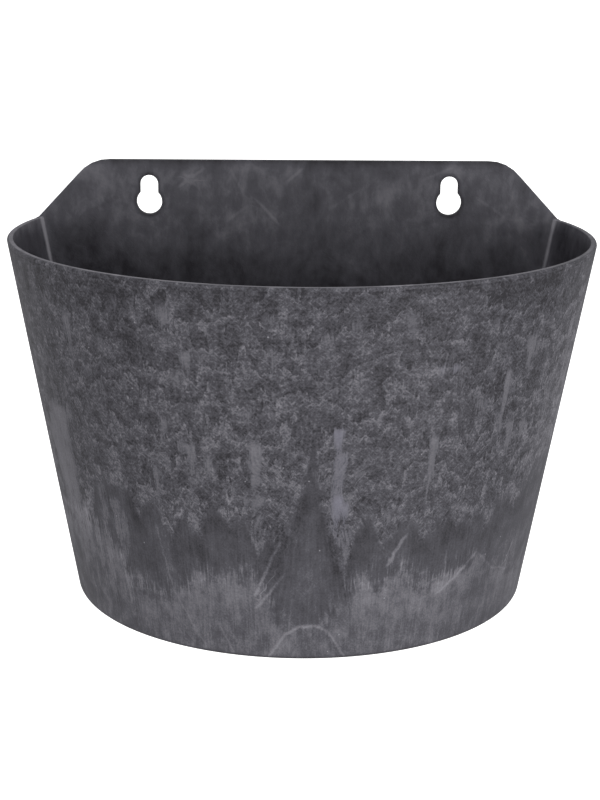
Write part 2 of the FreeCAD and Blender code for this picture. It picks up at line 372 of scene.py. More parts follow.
    # Where the painted highlight down the inner back corners lies, and how strong it is.
    corner_line_degrees: float = 140.0
    corner_line_rise: Pair = (0.34, 0.05)
    corner_line_reach_rise: Pair = (0.4, 0.1)
    corner_line_left: float = 1.35
    corner_line_low: float = 20.0
    corner_line_top_rise: Pair = (189.0, 192.0)
    corner_line_ends: Pair = (0.75, 1.25)
    # The rim's top is painted paler as its highlight.
    rim_paleness: float = 0.48
    rim_top_rise: Pair = (-1.0, -0.1)
    rim_depth_rise: Pair = (-3.0, -6.0)
    # Pale rubs on the rim's top, partly wear and partly painted highlight: each one's middle along the arc,
    # length and strength.
    rim_wear_and_glints: tuple[Triple, ...] = ((32.8, 8, 2.4), (40, 3, 0.5), (-86, 2.5, 1.2))

    def paint(self, points: Array) -> dict[str, Array]:
        """Work out the painted values of the shell's points.

        Args:
            points: The points in millimetres.

        Returns:
            Four values for each point, by name: "unrolled" holds the place and the streaks'
            own coordinate; "edges" how far inside the frost and the haze it lies, and whether
            it is on the outside; "bloom" the runs (on the inside, the painted highlights), the dark
            with its painted shade, the blue and the haze's strength; "veins" the distance to the
            nearest one and its strength.
        """
        x, y, z = points.T
        from_axis = -(y + self.shell.axis_to_wall)
        along = np.arctan2(x, from_axis) * self.unroll_radius
        skin = smooth_step(*self.skin_gap_rise, self.shell.radius(z) - np.hypot(x, from_axis))
        skin = skin * smooth_step(*self.skin_depth_rise, y) * smooth_step(*self.skin_foot_rise, z)
        outside = skin > 0.5
        across = np.where(outside, along, x)
        run, blue = self.runs(across, z)
        frost = z - np.interp(along, *np.array(self.frost_border).T)
        frost = frost * np.interp(np.abs(along), *self.frost_at_ends)
        frost = frost * np.interp(np.abs(along - self.fan_top[0]), *self.frost_at_tent)
        haze = np.interp(along, *np.array(self.haze_border).T) - z
        strength = np.interp(along, *np.array(self.haze_strength).T)
        front_shade = self.blots(self.front_blots, across, z) + self.edge_shade(z)
        plate_shade = self.blots(self.plate_blots, across, z) + self.inner_shade(x, y, z)
        shade = np.where(outside, front_shade, plate_shade)
        front = self.vein_values(self.veins, across, z)
        plate = self.vein_values(self.plate_veins, across, z)
        plate[1] *= y > self.plate_vein_depth
        distance, strong = np.where(outside, front, plate)
        # Inside, the runs' place holds painted highlights: down the back corners and along the rim's top.
        pale_lines = np.maximum(self.corner_line(x, y, z), self.rim_line(along, y, z))
        zero = np.zeros_like(z)
        return {
            "unrolled": np.stack([across, z, self.fan_coordinate(along, z), zero], -1),
            "edges": np.stack([frost, haze, skin, zero], -1),
            "bloom": np.stack([np.where(outside, run, pale_lines), shade, blue, strength], -1),
            "veins": np.stack([distance, strong, zero, zero], -1),
        }

    def edge_shade(self, z: Array) -> Array:
        """The painted shade along the foot's edge, and the paler band above the witness line."""
        return (self.foot_edge_shade * smooth_step(*self.foot_edge_shade_rise, z)
                + self.pale_top_band * smooth_step(*self.pale_top_band_rise, z))

    def inner_shade(self, x: Array, y: Array, z: Array) -> Array:
        """The painted shade down the inside and in its narrow ends, and the darker edges round the
        keyholes.

        Args:
            x: The points' places to the right.
            y: Their depths.
            z: Their heights.

        Returns:
            The dark, which is even on the back and the underside.
        """
        # Painted shade: darker deeper down and in the narrow ends, more on the right.
        end = smooth_step(*self.inner_end_depth_rise, y) * smooth_step(*self.inner_end_side_rise, np.abs(x))
        deep = np.interp(z, *self.inner_dark) + end * np.where(x > 0, *self.inner_end_dark)
        deep = deep + self.hole_edge_dark * self.hole_edge(x, z)
        return np.where((y > self.back_depth) | (z < self.underside_height), self.hidden_dark, deep)

    def hole_edge(self, x: Array, z: Array) -> Array:
        """How near a point lies to a keyhole's edge, along which the plate is painted darker.

        Args:
            x: The points' places to the right.
            z: Their heights.

        Returns:
            A fall from 1 at the edge to 0 a little way off.
        """
        side, up = np.abs(x) - self.shell.keyhole_x, z - self.shell.keyhole_middle()
        gap = np.hypot(side, up) - self.shell.keyhole_reach(np.arctan2(up, side), 0.0)
        return smooth_step(*self.hole_edge_rise, gap)

    def corner_line(self, x: Array, y: Array, z: Array) -> Array:
        """A painted highlight down the rounding of each inner back corner.

        It lies at one angle round the corner's rounding, whose middle climbs with the taper.

        Args:
            x: The points' places to the right.
            y: Their depths.
            z: Their heights.

        Returns:
            The line's strength.
        """
        shell = self.shell
        side = np.abs(x) - shell.corner_x(z)
        back = y + shell.wall + shell.corner_radius
        off = np.abs(np.hypot(side, back) - shell.corner_radius) / shell.corner_radius
        turn = np.abs(np.arctan2(side, -back) - math.radians(self.corner_line_degrees))
        line = smooth_step(*self.corner_line_rise, turn) * smooth_step(*self.corner_line_reach_rise, off)
        line = line * np.where(x < 0, self.corner_line_left, 1.0)
        line = line * (z > self.corner_line_low) * (z < shell.rim_height + 0.5)
        low, high = self.corner_line_ends
        return line * (low + (high - low) * smooth_step(*self.corner_line_top_rise, z))

    def rim_line(self, along: Array, y: Array, z: Array) -> Array:
        """A painted highlight along the rim's level top, with a few brighter rubs that are partly wear and
        partly painted highlight.

        Args:
            along: The points' arc lengths from the front's middle.
            y: Their depths.
            z: Their heights.

        Returns:
            The line's strength.
        """
        above = z - self.shell.rim_height
        top = smooth_step(*self.rim_top_rise, above) * (above < 0.1)
        pale = np.full_like(z, self.rim_paleness)
        for middle, length, strength in self.rim_wear_and_glints:
            pale = pale + strength * smooth_step(0.6 * length, 0.3 * length, np.abs(along - middle))
        return top * pale * smooth_step(*self.rim_depth_rise, y)

    def runs(self, along: Array, height: Array) -> tuple[Array, Array]:
        """The strength of the runs and how blue they are.

        Each run is sharp at its top and falls off downwards and sideways. Stray ones are drawn
        at random between the named ones.

        Args:
            along: The points' arc lengths from the front's middle.
            height: Their heights.

        Returns:
            The strongest run at each point, and its blue.
        """
        rng = np.random.default_rng(self.stray_seed)
        drawn = [rng.uniform(*limits, self.stray_drips) for limits in self.stray_limits]
        upright = np.zeros(self.stray_drips)
        stray = np.stack([*drawn, upright, upright], -1)
        named = np.array([astuple(drip) for drip in self.drips])
        run, blue = np.zeros_like(along), np.zeros_like(along)
        for middle, top, length, width, strength, lean, tint in np.concatenate([named, stray]):
            share = (top - height) / length
            taper = 1 - self.drip_taper * np.clip(share, 0, 1)
            side = np.abs(along - middle - lean * (top - height)) / (width / 2 * taper)
            fall = smooth_step(*self.drip_top_rise, top - height)
            fall = fall * np.clip(1 - share, 0, 1) ** self.drip_fade
            each = strength * fall * smooth_step(*self.drip_side_rise, side)
            run = np.maximum(run, each)
            blue = np.maximum(blue, each * tint)
        return run, blue

    def vein_values(self, veins: tuple[Vein, ...], along: Array, height: Array) -> Array:
        """The nearest vein: a point's signed distance to it, and its strength there.

        Args:
            veins: The veins.
            along: The points' arc lengths, or places to the right.
            height: Their heights.

        Returns:
            Two rows, the distances and the strengths, which fade out past a vein's ends.
        """
        best = np.full(len(along), 1e6)
        signed, strong = np.full(len(along), 50.0), np.zeros(len(along))
        for vein in veins:
            run, rise = vein.end_along - vein.start_along, vein.end_height - vein.start_height
            length = math.hypot(run, rise)
            off_along, off_height = along - vein.start_along, height - vein.start_height
            share = (off_along * run + off_height * rise) / length ** 2
            side = (run * off_height - rise * off_along) / length
            past = np.maximum(np.maximum(-share, share - 1), 0) * length
            far = np.hypot(side, past)
            nearer = far < best
            best = np.where(nearer, far, best)
            signed = np.where(nearer, side, signed)
            fade = smooth_step(*self.vein_end_rise, past) * smooth_step(*self.vein_side_rise, far)
            strong = np.where(nearer, vein.strength * fade, strong)
        return np.stack([signed, strong])

    def blots(self, blots: tuple[Blot, ...], along: Array, height: Array) -> Array:
        """The sum of the blots, each a bell of the distance in its own half widths, leaning over.

        Args:
            blots: The blots.
            along: The points' arc lengths, or places to the right.
            height: Their heights.

        Returns:
            The dark that they add up to.
        """
        total = np.zeros_like(along)
        for blot in blots:
            rise = (height - blot.height) / (blot.tall / 2)
            side = (along - blot.along - blot.lean * (height - blot.height)) / (blot.width / 2)
            total += blot.strength * np.exp(-self.blot_fall * (side ** 2 + rise ** 2))
        return total

    def fan_coordinate(self, along: Array, height: Array) -> Array:
        """The coordinate that streaks run along: upright ones, but fanned out in the middle.

        Args:
            along: The points' arc lengths from the front's middle.
            height: Their heights.

        Returns:
            The arc length, and below the fan's top its share of the way down from there.
        """
        middle, top = self.fan_top
        fanned = middle + (along - middle) * self.fan_spread / np.maximum(top - height, self.fan_least)
        near = smooth_step(*self.fan_width_rise, np.abs(along - middle))
        return along + near * smooth_step(*self.fan_height_rise, height) * (fanned - along)


@dataclass(frozen=True)
class Grain:
    """A noise's features: millimetres across and up, detail, roughness, and how they lie."""

    across: float
    up: float
    detail: float = 2.0
    rough: float = 0.5
    turn: float = 0.0
    fanned: bool = False


class Painting:
    """Formulas over the shell's painted values, worked out by nodes of one material."""

    def __init__(self, tree: Tree) -> None:
        """Read where each point lies on the unrolled surface.

        Args:
            tree: The material's node tree.
        """
        self.tree = tree
        self.along, self.height, fan, _ = self.read("unrolled")
        self.place = {False: add(tree, "CombineXYZ", {0: self.along, 1: self.height}),
                      True: add(tree, "CombineXYZ", {0: fan, 1: self.height})}

    def read(self, name: str) -> tuple[Socket, ...]:
        """Read a painted value.

        Args:
            name: The value's name.

        Returns:
            Its four parts.
        """
        painted = add(self.tree, "Attribute", attribute_name=name)
        parts = add(self.tree, "SeparateXYZ", {0: painted.outputs["Vector"]})
        return (*parts.outputs, painted.outputs["Alpha"])

    def noise(self, grain: Grain) -> Socket:
        """Lay a noise about zero on the unrolled surface.

        Args:
            grain: The noise's features.

        Returns:
            The noise.
        """
        turned = add(self.tree, "VectorRotate", {"Vector": self.place[grain.fanned], "Angle": grain.turn},
                     rotation_type="Z_AXIS")
        scaled = add(self.tree, "Mapping", {0: turned, 3: (1 / grain.across, 1 / grain.up, 0)})
        made = add(self.tree, "TexNoise", {"Vector": scaled, "Scale": 1.0, "Detail": grain.detail,
                                           "Roughness": grain.rough})
        return self.total(-0.5, (made, 1.0))

    def total(self, start: float, *terms: tuple[object, object]) -> Socket:
        """Add up a number and products.

        Args:
            start: The number.
            *terms: Pairs of sockets or numbers, each pair to be multiplied.

        Returns:
            The sum.
        """
        total: object = start
        for first, second in terms:
            total = add(self.tree, "Math", {0: first, 1: second, 2: total}, operation="MULTIPLY_ADD")
        return total.outputs[0]

    def product(self, *factors: object) -> Socket:
        """Multiply sockets or numbers, by sums of a single term."""
        return reduce(lambda first, second: self.total(0.0, (first, second)), factors)

    def rise(self, low: float, high: float, *terms: tuple[object, object]) -> Socket:
        """Rise smoothly from 0 to 1 while a sum of products goes from one value to another.

        Args:
            low: Where the rise starts.
            high: Where the rise ends; it may be the smaller one, for a fall.
            *terms: Pairs of sockets or numbers, whose products are added up.

        Returns:
            The cubic of the clamped share of the way from low to high.
        """
        value = self.total(0.0, *terms)
        return add(self.tree, "MapRange", {"Value": value, "From Min": low, "From Max": high},
                   interpolation_type="SMOOTHSTEP").outputs[0]

    def band(self, value: Socket, *edges: float) -> Socket:
        """Rise from 0 to 1 between the first two of four values and fall between the last two."""
        start, full, last, end = edges
        return self.product(self.rise(start, full, (value, 1.0)), self.rise(end, last, (value, 1.0)))


@dataclass(frozen=True)
class Finish:
    """A named material with one shader, whose inputs each kind of finish works out."""

    name: str

    def surface(self, tree: Tree) -> dict[str, object]:
        """The shader's inputs, by name, which each kind of finish works out for itself."""
        raise NotImplementedError

    def make(self) -> bpy.types.Material:
        """Make the material.

        Returns:
            The material, with its one shader.
        """
        made = bpy.data.materials.new(self.name)
        made.use_nodes = True
        tree = made.node_tree
        tree.nodes.clear()
        shader = add(tree, "BsdfPrincipled", self.surface(tree))
        add(tree, "OutputMaterial", {"Surface": shader})
        return made


@dataclass(frozen=True)
class StoneCompound(Finish):
    """Resin filled with stone powder, moulded, and left as it comes out of the mould.

    The eye gets a dull, cold anthracite with feathery frost and pale runs of mineral on the
    outside, soft clouds inside, and a smoother rim, whose slight shine is a painted highlight.
    The powder's real grain is a few tenths of a millimetre, and the frost's needles are as fine.
    Both are drawn about 1 mm wide here, since a finer pattern wouldn't show in the render.
    """

    name: str = "stone_compound_moulded"
    dark: str = "29272d"
    middle: str = "55545b"
    pale: str = "949299"
    blue: str = "8b8a9e"
    middle_place: float = 0.42
    blue_share: float = 0.35
    powder: Grain = Grain(1.1, 1.0, rough=0.8)
    hairs: Grain = Grain(1.0, 9.0, fanned=True)
    spikes: Grain = Grain(1.5, 9.0, 3, 0.7, fanned=True)
    flames: Grain = Grain(3.2, 18.0, 3, 0.6, fanned=True)
    streaks: Grain = Grain(4.0, 40.0, 5, 0.72, fanned=True)
    rising_barbs: Grain = Grain(0.85, 3.2, turn=0.7)
    falling_barbs: Grain = Grain(0.85, 3.2, turn=-0.8)
    ripples: Grain = Grain(2.1, 1.2, rough=0.65)
    patches: Grain = Grain(9.0, 10.0, 4, 0.58)
    smoke: Grain = Grain(9.0, 10.0, 5, 0.65)
    wander: Grain = Grain(5.0, 5.0, 3)
    # Each layer of frost crowns: pitch and width in millimetres, swing, and share of the frost.
    crown_layers: tuple[tuple[float, ...], ...] = ((17.0, 8.0, 2.0, 0.3), (9.0, 5.0, 1.6, 0.16))
    # Sizes and spacing in millimetres, and the share of the cells that hold a speck.
    cloud_size: Triple = (24.0, 24.0, 30.0)
    scuff_size: Triple = (5.0, 5.0, 9.0)
    speck_spacing: float = 6.0
    speck_share: float = 0.015

    def surface(self, tree: Tree) -> dict[str, object]:
        """Work the look out from the shell's painted values.

        Args:
            tree: The material's node tree.

        Returns:
            The shader's inputs, by name.
        """
        look = Painting(tree)
        light, relief, blue = self.outside(look)
        level = add(tree, "Mix", {"Factor": look.read("edges")[2], 2: self.clouds(look), 3: light},
                    data_type="FLOAT")
        ramp = add(tree, "ValToRGB", {0: level})
        stops = ramp.color_ramp.elements
        stops[0].position, stops[0].color = 0.0, linear(self.dark)
        stops[1].position, stops[1].color = 1.0, linear(self.pale)
        stops.new(self.middle_place).color = linear(self.middle)
        tinted = add(tree, "Mix", {"Factor": blue, 6: ramp, 7: linear(self.blue)}, data_type="RGBA")
        rough = add(tree, "MapRange", {"Value": level, "From Min": 0.1, "From Max": 0.9,
                                       "To Min": 0.5, "To Max": 0.68})
        bump = add(tree, "Bump", {"Height": relief, "Strength": 0.35, "Distance": 0.0003})
        return {"Base Color": tinted.outputs[2], "Roughness": rough, "Normal": bump, "IOR": 1.5,
                "Specular IOR Level": 0.4}

    def crown(self, look: Painting, spikes: Socket, layer: tuple[float, ...]) -> Socket:
        """One layer of frost crowns, which brighten upwards and drop off at a jagged top.

        Args:
            look: The painted values.
            spikes: The noise that makes the top jagged.
            layer: The layer's pitch, width, swing and share.

        Returns:
            The fraction of the height plus noise, to the power of 1.3.
        """
        pitch, wide, swing, _ = layer
        climb = look.total(0.0, (look.height, 1 / pitch), (look.noise(Grain(wide, wide * 2.2)), swing),
                           (look.noise(Grain(wide * 3, wide * 3)), 3.5), (spikes, 15.0 / pitch))
        saw = add(look.tree, "Math", {0: climb}, operation="FRACT")
        return add(look.tree, "Math", {0: saw, 1: 1.3}, operation="POWER").outputs[0]

    def outside(self, look: Painting) -> tuple[Socket, ...]:
        """The outside: crowns of frost above, haze below, runs and veins over both.

        Feathers are two noises stretched along crossing slopes. The shares in the sums were
        matched to the photograph's light and dark.

        Args:
            look: The painted values.

        Returns:
            The lightness from 0 to 1, the relief, and the share of blue.
        """
        tree = look.tree
        in_frost, in_haze, _, _ = look.read("edges")
        run, shade, blue, haze_strength = look.read("bloom")
        vein_side, vein_strength, _, _ = look.read("veins")
        spikes, hairs, powder, patches, streaks, smoke, flames, ripples = map(look.noise, (
            self.spikes, self.hairs, self.powder, self.patches, self.streaks, self.smoke, self.flames,
            self.ripples))
        feathers = add(tree, "Math", {0: look.noise(self.rising_barbs), 1: look.noise(self.falling_barbs)},
                       operation="MAXIMUM")

        crowns = [(self.crown(look, spikes, layer), layer[3]) for layer in self.crown_layers]
        frost = look.total(0.08, *crowns, (feathers, 1.25), (ripples, 0.8), (patches, 0.9), (hairs, 0.25))
        plain = look.total(0.29, (streaks, 0.42), (smoke, 0.3), (hairs, 0.3), (feathers, 0.35),
                           (patches, 0.3))
        frosted = look.rise(-6.0, 4.0, (in_frost, 1.0), (patches, 7.0), (spikes, 8.0), (flames, 24.0))
        ground = add(tree, "Mix", {"Factor": frosted, 2: plain, 3: frost}, data_type="FLOAT").outputs[0]

        ragged_haze = look.total(0.0, (in_haze, 1.0), (hairs, 6.0), (spikes, 22.0), (flames, 8.0),
                                 (patches, 11.0), (smoke, 20.0))
        hazy = look.rise(-7.0, 7.0, (ragged_haze, 1.0))
        whiskers = look.product(look.band(in_haze, -16.0, -2.0, 0.0, 6.0),
                                look.rise(0.06, 0.2, (hairs, 1.0)))
        haze = look.total(0.0, (look.band(ragged_haze, -6.0, 5.0, 4.0, 34.0), 0.19), (hazy, 0.12),
                          (look.product(hazy, smoke), 0.35), (whiskers, 0.22))

        ragged = look.total(0.0, (run, 1.0), (hairs, 1.3), (spikes, 0.7), (feathers, 0.5), (patches, 0.6))
        drip = look.product(look.rise(0.12, 0.5, (ragged, 1.0)), look.rise(0.02, 0.3, (run, 1.0)))
        body = look.total(0.37, (run, 0.3), (hairs, 0.35), (feathers, 0.3), (smoke, 0.3))
        ground = add(tree, "Mix", {"Factor": drip, 2: ground, 3: body}, data_type="FLOAT").outputs[0]

        wandering = look.total(0.0, (vein_side, 1.0), (look.noise(self.wander), 3.0))
        off = add(tree, "Math", {0: wandering}, operation="ABSOLUTE")
        narrow = look.rise(0.7, -0.7, (off, 1.0), (vein_strength, -1.3), (hairs, 1.5))
        specks = add(tree, "TexVoronoi", {"Vector": look.place[False], "Scale": 1 / self.speck_spacing},
                     voronoi_dimensions="2D")
        chosen = add(tree, "SeparateColor", {0: specks.outputs["Color"]}).outputs[0]
        speck = look.product(look.rise(0.08, 0.04, (specks.outputs["Distance"], 1.0)),
                             look.rise(1 - self.speck_share, 1.001 - self.speck_share, (chosen, 1.0)))
        light = look.total(
            0.02, (ground, 1.0), (shade, -0.2), (haze_strength, haze),
            (look.product(narrow, vein_strength), 0.48),
            (look.rise(164.0, 188.0, (look.height, 1.0)), -0.11), (powder, 0.5),
            (look.band(in_frost, -4.0, 1.0, 2.0, 12.0), 0.08),
            (look.band(in_frost, -22.0, -4.0, -3.0, 2.0), -0.08), (speck, 0.8))
        relief = look.total(0.0, (ground, 1.0), (powder, 0.6))
        return light, relief, look.product(blue, drip, self.blue_share)

    def clouds(self, look: Painting) -> Socket:
        """The smooth inside and plate: soft clouds, scuffs, veins, and the painted shade and highlights.

        Args:
            look: The painted values.

        Returns:
            The lightness from 0 to 1.
        """
        tree = look.tree
        place = add(tree, "TexCoord").outputs["Object"]
        scaled = add(tree, "Mapping", {0: place, 3: tuple(1 / MM / size for size in self.cloud_size)})
        big = add(tree, "TexNoise", {"Vector": scaled, "Scale": 1.0, "Detail": 6.0, "Roughness": 0.6,
                                     "Distortion": 0.7})
        scuffed = add(tree, "Mapping", {0: place, 3: tuple(1 / MM / size for size in self.scuff_size)})
        scuffs = add(tree, "TexNoise", {"Vector": scuffed, "Scale": 1.0, "Detail": 3.0, "Roughness": 0.6})
        # pale holds the painted highlights, and shade the blots with the painted shade.
        pale, shade, _, _ = look.read("bloom")
        vein_side, vein_strength, _, _ = look.read("veins")
        off = add(tree, "Math", {0: vein_side}, operation="ABSOLUTE")
        line = look.product(look.rise(1.3, 0.2, (off, 1.0)), vein_strength)
        return look.total(-0.27, (big, 0.85), (scuffs, 0.5), (shade, -0.2), (line, 0.24), (pale, 0.75))


@dataclass(frozen=True)
class MouldedPlastic(Finish):
    """Polypropylene from a spark-eroded mould.

    The eye gets a dark, slightly uneven plastic with a fine grain, duller where lime dust from
    the water has dried on it. The grain's real pits are about 0.1 mm wide. They are drawn
    coarser here, as that wouldn't show. Grain and flow are in millimetres.
    """

    dark: str
    dusty: str
    grain: float
    flow: float
    smooth: float
    rough: float
    dust_share: float
    cloud_share: float = 0.12

    def surface(self, tree: Tree) -> dict[str, object]:
        """Lay flow clouds, dust on what faces up, and a fine pitted grain.

        Args:
            tree: The material's node tree.

        Returns:
            The shader's inputs, by name.
        """
        place = add(tree, "TexCoord").outputs["Object"]
        flow = add(tree, "TexNoise", {"Vector": place, "Scale": 1 / MM / self.flow, "Detail": 5.0,
                                      "Roughness": 0.6, "Distortion": 0.5})
        grain = add(tree, "TexVoronoi", {"Vector": place, "Scale": 1 / MM / self.grain})
        faces_up = add(tree, "SeparateXYZ", {0: add(tree, "NewGeometry").outputs["Normal"]}).outputs[2]
        lying = add(tree, "MapRange", {"Value": faces_up, "From Min": 0.4, "From Max": 0.95})
        cloud = add(tree, "MapRange", {"Value": flow, "From Min": 0.38, "From Max": 0.68})
        dust = add(tree, "Math", {0: cloud, 1: lying}, operation="MULTIPLY")
        dust = add(tree, "Math", {0: dust, 1: self.dust_share}, operation="MULTIPLY")
        dust = add(tree, "Math", {0: cloud, 1: self.cloud_share, 2: dust}, operation="MULTIPLY_ADD")
        colour = add(tree, "Mix", {"Factor": dust, 6: linear(self.dark), 7: linear(self.dusty)},
                     data_type="RGBA")
        dull = add(tree, "MapRange", {"Value": dust, "To Min": self.smooth, "To Max": self.rough})
        bump = add(tree, "Bump", {"Height": grain, "Strength": 0.25, "Distance": 0.0002})
        return {"Base Color": colour.outputs[2], "Roughness": dull, "Normal": bump, "IOR": 1.49}


@dataclass(frozen=True)
class SealRubber(Finish):
    """Black nitrile rubber, pressed in a ring mould.

    The eye gets a dull black with a bloom of pale talc and fine rings along the section. The
    real rings are hair-fine, and are drawn 0.7 mm apart so that they show.
    """

    name: str = "nitrile_rubber_pressed"
    dark: str = "1a1a1b"
    talc: str = "3d3d40"
    axis: Pair = (0.0, -86.7)
    ring_pitch: float = 0.7
    talc_per_mm: float = 0.35

    def surface(self, tree: Tree) -> dict[str, object]:
        """Lay talc in noise patches, and rings about the drain's axis.

        A ring's height is the sine of the distance from the axis.

        Args:
            tree: The material's node tree.

        Returns:
            The shader's inputs, by name.
        """
        place = add(tree, "TexCoord").outputs["Object"]
        middle = (-self.axis[0] * MM, -self.axis[1] * MM, 0)
        flat = add(tree, "Mapping", {0: place, 1: middle, 3: (1, 1, 0)})
        reach = add(tree, "VectorMath", {0: flat}, operation="LENGTH").outputs["Value"]
        phase = add(tree, "Math", {0: reach, 1: 2 * math.pi / MM / self.ring_pitch}, operation="MULTIPLY")
        rings = add(tree, "Math", {0: phase}, operation="SINE")
        patches = add(tree, "TexNoise", {"Vector": place, "Scale": self.talc_per_mm / MM, "Detail": 4.0,
                                         "Roughness": 0.65})
        talc = add(tree, "MapRange", {"Value": patches, "From Min": 0.42, "From Max": 0.75})
        colour = add(tree, "Mix", {"Factor": talc, 6: linear(self.dark), 7: linear(self.talc)},
                     data_type="RGBA")
        dull = add(tree, "MapRange", {"Value": talc, "To Min": 0.55, "To Max": 0.85})
        bump = add(tree, "Bump", {"Height": rings, "Strength": 0.2, "Distance": 0.00005})
        return {"Base Color": colour.outputs[2], "Roughness": dull, "Normal": bump, "IOR": 1.52}


@dataclass(frozen=True)
class CarriedNode:
    """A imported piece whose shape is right, and which only gets its finish here."""

    node: Node
    finish: Finish

    def dress(self) -> bpy.types.Object:
        """Put the finish in each of the node's material slots, or in a first one.

        Returns:
            The node's own object.
        """
        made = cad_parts[self.node.value]
        material = self.finish.make()
        if not made.material_slots:
            made.data.materials.append(material)
        for slot in made.material_slots:
            slot.material = material
        LOG.info("%s: %s", self.node.value, material.name)
        return made


@dataclass
class PlanterShell:
    """The moulded shell: pot, foot ring, drain collar and back plate as one closed surface.

    A section of the pot is a closed loop of columns: the arc of the round front, the right
    side against the wall, the back, and the left side. A profile is carried round that loop,
    from the drain bore over the underside, up the outside, over the rim, and down the inside
    to the bore again. Over the back, the rim is left out, and the plate stands there.
    """

    rim_radius: float = 155.25
    foot_radius: float = 121.8
    rim_height: float = 192.5
    axis_to_wall: float = 51.6
    wall: float = 3.4
    floor_top: float = 9.0
    corner_radius: float = 4.5
    floor_fillet: float = 3.6
    foot_fillet: float = 3.0
    rim_fillet: float = 1.2
    witness_low: float = 190.0
    witness_width: float = 0.5
    witness_depth: float = 0.15
    ring_width: float = 8.0
    ring_corner: float = 4.0
    recess: float = 5.0
    drain_y: float = -86.7
    bore_radius: float = 8.0
    collar_radius: float = 14.0
    collar_top: float = 13.0
    plate_top: float = 225.0
    plate_foot_x: float = 145.882
    plate_corner_x: float = 115.4
    shoulder_radius: float = 22.0
    keyhole_x: float = 83.7
    head_height: float = 201.8
    head_radius: float = 7.0
    slot_radius: float = 4.9
    slot_rise: float = 9.7
    soft_edge: float = 0.45
    # A soft edge of three points has its middle one this share of its radius off both faces.
    edge_sag: float = 0.3
    # How long the plate's soft edge takes to fade out at each end.
    plate_end: float = 3.0
    # The columns stand evenly in the middle out to here, and then follow the plate's outline.
    plate_straight_x: float = 100.0
    # Half the width of the square of columns and rows that each keyhole's rings replace.
    window_half: float = 10.0
    # How far the groove's rows lie outside and inside its edges, and where along the arc it fades.
    witness_gaps: Pair = (0.1, 0.08)
    witness_end: float = 0.985
    # How finely the surface is divided: counts of columns, counts of rows, shares of the way
    # across the foot's face and the rim's top at which further rows lie, and the rows' spacing.
    arc_columns: int = 344
    side_columns: int = 6
    corner_columns: int = 3
    slope_columns: int = 10
    gap_columns: int = 2
    window_columns: int = 20
    middle_columns: int = 20
    edge_rows: int = 4
    fillet_rows: int = 8
    inner_rows: int = 26
    cove_rows: int = 6
    ceiling_rows: int = 5
    floor_rows: int = 6
    plate_rows: int = 16
    window_rows: int = 14
    ring_rows: int = 4
    ring_face_shares: Pair = (0.33, 0.67)
    rim_step: float = 0.05
    spacing: float = 1.85
    crease_degrees: float = 38.0
    name: str = "stone_shell"

    def radius(self, height: Array) -> Array:
        """The outer radius at a height, along the straight taper."""
        return self.foot_radius + (self.rim_radius - self.foot_radius) * height / self.rim_height

    def tilt(self) -> float:
        """How far the side leans outwards from upright, in radians."""
        return math.atan((self.rim_radius - self.foot_radius) / self.rim_height)

    def outer_profile(self) -> tuple[Array, Array, Array]:
        """The outside's profile from the foot to the rim.

        A fillet is a part circle that touches the level face and the leaning side.

        Returns:
            Radius, height and groove depth of each row.
        """
        lean = self.tilt()
        foot_turn = np.linspace(-math.pi / 2, -lean, self.fillet_rows)
        foot_middle = self.radius(self.foot_fillet) - self.foot_fillet / math.cos(lean)
        rim_turn = np.linspace(-lean, math.pi / 2, self.fillet_rows)
        rim_low = self.rim_height - self.rim_fillet
        rim_middle = self.radius(rim_low) - self.rim_fillet / math.cos(lean)
        foot_height = self.foot_fillet * (1 + np.sin(foot_turn))
        rim_height = rim_low + self.rim_fillet * np.sin(rim_turn)
        witness_high = self.witness_low + self.witness_width
        beyond, within = self.witness_gaps
        count = int((self.witness_low - foot_height[-1]) / self.spacing)
        side = np.linspace(foot_height[-1], self.witness_low - beyond, count)[1:]
        groove = np.array([self.witness_low + within, witness_high - within])
        above = np.array([witness_high + beyond, (witness_high + rim_height[0]) / 2])
        straight = np.concatenate([side, groove, above])
        height = np.concatenate([foot_height, straight, rim_height])
        radius = np.concatenate([
            foot_middle + self.foot_fillet * np.cos(foot_turn),
            self.radius(straight),
            rim_middle + self.rim_fillet * np.cos(rim_turn),
        ])
        depth = np.where(np.isin(height, groove), self.witness_depth, 0)
        return radius, height, depth

    def plate_columns(self) -> Array:
        """Where the plate's columns stand at the rim, from right to left.

        The first and the last few stand on the rim's top, beside the rounded inner corner.

        Returns:
            The columns' x.
        """
        ends = [self.plate_foot_x, self.corner_x(self.rim_height), self.plate_straight_x,
                self.keyhole_x + self.window_half, self.keyhole_x - self.window_half, 0.0]
        counts = [self.corner_columns, self.slope_columns, self.gap_columns, self.window_columns,
                  self.middle_columns]
        half = np.concatenate([np.linspace(start, end, count + 1)[:-1]
                               for start, end, count in zip(ends, ends[1:], counts)])
        return np.concatenate([half, [0.0], -half[::-1]])

    def corner_x(self, height: float | Array) -> float | Array:
        """Where the inside's rounded corner starts on its back line.

        The rounding's middle keeps its distance from the arc and from the line, so its x is
        the short side of a right triangle.

        Args:
            height: The height, or an array of heights.

        Returns:
            The x, or 0 where there is no such place.
        """
        inset = self.wall + self.corner_radius
        reach, deep = self.radius(height) - inset, self.axis_to_wall - inset
        return np.sqrt(np.maximum(reach ** 2 - deep ** 2, 0))

    def arc(self, radius: Array, angle: Array) -> tuple[Array, Array]:
        """The x and y at a radius and an angle round the pot's axis, from the front."""
        return radius * np.sin(angle), -self.axis_to_wall - radius * np.cos(angle)

